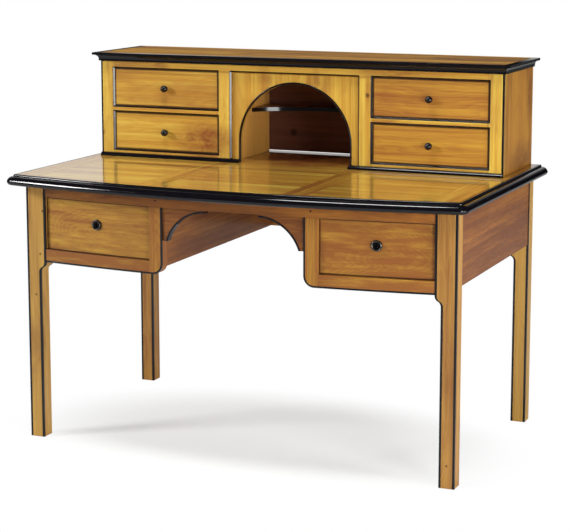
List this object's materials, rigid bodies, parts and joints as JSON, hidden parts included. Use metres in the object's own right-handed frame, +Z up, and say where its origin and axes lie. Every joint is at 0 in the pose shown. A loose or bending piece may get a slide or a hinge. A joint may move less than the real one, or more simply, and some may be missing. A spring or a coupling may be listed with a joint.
{
  "type": "bonheur du jour",
  "caption": "Bow-fronted wooden writing desk with black moulded edges, locking drawers beside a knee space, and an upper unit of small drawers flanking an arched niche.",
  "frame": {"origin": "on the floor under the middle of the desk's bounding box", "axes": "+X to the right of someone who sits at the desk, +Y to the back, +Z up"},
  "size_m": [1.344, 0.855, 1.07],
  "materials": {
    "cherry": "golden cherry, gloss lacquer",
    "black_lacquer": "ebonised, gloss lacquer",
    "drawer_lining": "pale planed wood, thin oil",
    "peg_wood": "dark end grain",
    "aged_pewter": "darkened, polished on the rim",
    "lock_steel": "plain bright steel"
  },
  "bodies": {
    "desk": {"arch_bead": "black_lacquer", "arch_panel": "cherry", "back_apron": "cherry", "base_mouldings": "black_lacquer", "bottom_rails": "cherry", "caisson_sides": "cherry", "corner_beads": "black_lacquer", "cornice": "black_lacquer", "drawer_boards": "drawer_lining", "drawer_kickers": "drawer_lining", "drawer_runners": "drawer_lining", "drawer_stops": "drawer_lining", "front_stiles": "cherry", "front_top_rail": "cherry", "kneehole_beads": "black_lacquer", "leg_back_left": "cherry", "leg_back_right": "cherry", "leg_beads": "black_lacquer", "leg_front_left": "cherry", "leg_front_right": "cherry", "niche_partitions": "cherry", "niche_shelf": "cherry", "opening_beads": "black_lacquer", "rail_pegs": "peg_wood", "shelf_edge": "black_lacquer", "side_aprons": "cherry", "spandrel_edges": "black_lacquer", "spandrels": "cherry", "top_bands": "cherry", "top_edge_front": "black_lacquer", "top_edge_sides": "black_lacquer", "top_panels": "cherry", "unit_back": "cherry", "unit_rails": "cherry", "unit_sides": "cherry", "unit_stiles": "cherry", "unit_top": "cherry"},
    "lower_left_drawer": {"lower_left_drawer_front": "cherry", "lower_left_drawer_box": "drawer_lining", "lower_left_drawer_knob": "black_lacquer"},
    "lower_right_drawer": {"lower_right_drawer_front": "cherry", "lower_right_drawer_box": "drawer_lining", "lower_right_drawer_knob": "black_lacquer"},
    "upper_left_drawer": {"upper_left_drawer_front": "cherry", "upper_left_drawer_box": "drawer_lining", "upper_left_drawer_knob": "black_lacquer"},
    "upper_right_drawer": {"upper_right_drawer_front": "cherry", "upper_right_drawer_box": "drawer_lining", "upper_right_drawer_knob": "black_lacquer"},
    "desk_drawer_left": {"desk_drawer_left_front": "cherry", "desk_drawer_left_box": "drawer_lining", "desk_drawer_left_escutcheon": "aged_pewter", "desk_drawer_left_lock": "lock_steel"},
    "desk_drawer_left_lock_bolt": {"desk_drawer_left_bolt": "lock_steel"},
    "desk_drawer_right": {"desk_drawer_right_front": "cherry", "desk_drawer_right_box": "drawer_lining", "desk_drawer_right_escutcheon": "aged_pewter", "desk_drawer_right_lock": "lock_steel"},
    "desk_drawer_right_lock_bolt": {"desk_drawer_right_bolt": "lock_steel"}
  },
  "joints": [
    {"name": "desk_drawer_left_slide", "type": "slide", "parent": "desk", "child": "desk_drawer_left", "axis": [0, -1, 0], "range_m": [0, 0.36]},
    {"name": "desk_drawer_left_bolt_slide", "type": "slide", "parent": "desk_drawer_left", "child": "desk_drawer_left_lock_bolt", "axis": [0, 0, 1], "range_m": [0, 0.007]},
    {"name": "desk_drawer_right_slide", "type": "slide", "parent": "desk", "child": "desk_drawer_right", "axis": [0, -1, 0], "range_m": [0, 0.36]},
    {"name": "desk_drawer_right_bolt_slide", "type": "slide", "parent": "desk_drawer_right", "child": "desk_drawer_right_lock_bolt", "axis": [0, 0, 1], "range_m": [0, 0.007]},
    {"name": "lower_left_drawer_slide", "type": "slide", "parent": "desk", "child": "lower_left_drawer", "axis": [0, -1, 0], "range_m": [0, 0.2]},
    {"name": "lower_right_drawer_slide", "type": "slide", "parent": "desk", "child": "lower_right_drawer", "axis": [0, -1, 0], "range_m": [0, 0.2]},
    {"name": "upper_left_drawer_slide", "type": "slide", "parent": "desk", "child": "upper_left_drawer", "axis": [0, -1, 0], "range_m": [0, 0.2]},
    {"name": "upper_right_drawer_slide", "type": "slide", "parent": "desk", "child": "upper_right_drawer", "axis": [0, -1, 0], "range_m": [0, 0.2]}
  ]
}
